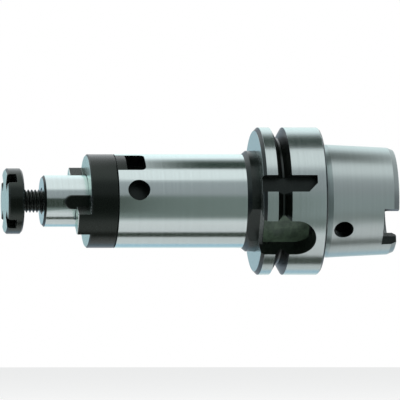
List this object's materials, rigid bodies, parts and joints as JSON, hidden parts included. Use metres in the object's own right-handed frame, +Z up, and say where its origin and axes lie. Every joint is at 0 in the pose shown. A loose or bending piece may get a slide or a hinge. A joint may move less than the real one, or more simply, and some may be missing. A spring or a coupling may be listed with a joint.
{
  "type": "combination shell mill arbor",
  "caption": "Shell mill arbor with a hollow taper shank, gripper flange, keyed pilot, sliding driving ring with dogs and a wide-headed retaining screw.",
  "frame": {"origin": "centre of the flange's gauge face, on the arbor's axis", "axes": "+X along the axis into the spindle, -X towards the cutter, +Z up; the arbor is rolled so that its deep flange pocket is 31 degrees below -Y"},
  "size_m": [0.1668, 0.063, 0.063],
  "materials": {
    "ground_steel": "hardened and ground, dark heat scale in the milled pockets",
    "blackened_steel": "black oxide",
    "key_steel": "blackened",
    "screw_steel": "black oxide",
    "tube_steel": "turned, bright",
    "seal_rubber": "matt"
  },
  "bodies": {
    "arbor": {"arbor_body": "ground_steel", "feather_key": "key_steel", "coolant_tube_nut": "tube_steel", "tube_seal_inner": "seal_rubber", "tube_seal_outer": "seal_rubber"},
    "ring": {"driving_ring": "blackened_steel"},
    "screw": {"retaining_screw": "screw_steel"},
    "tube": {"coolant_tube": "tube_steel"}
  },
  "joints": [
    {"name": "retaining_screw_travel", "type": "slide", "parent": "arbor", "child": "screw", "axis": [-1, 0, 0], "range_m": [-0.00878, 0.016]},
    {"name": "driving_ring_slide", "type": "slide", "parent": "arbor", "child": "ring", "axis": [-1, 0, 0], "range_m": [0, 0.013]},
    {"name": "coolant_tube_tilt", "type": "hinge", "parent": "arbor", "child": "tube", "pos_m": [-0.0128, 0, 0], "axis": [0, 0, 1], "range_deg": [-1, 1], "stiffness_Nm_per_rad": 0.1}
  ]
}
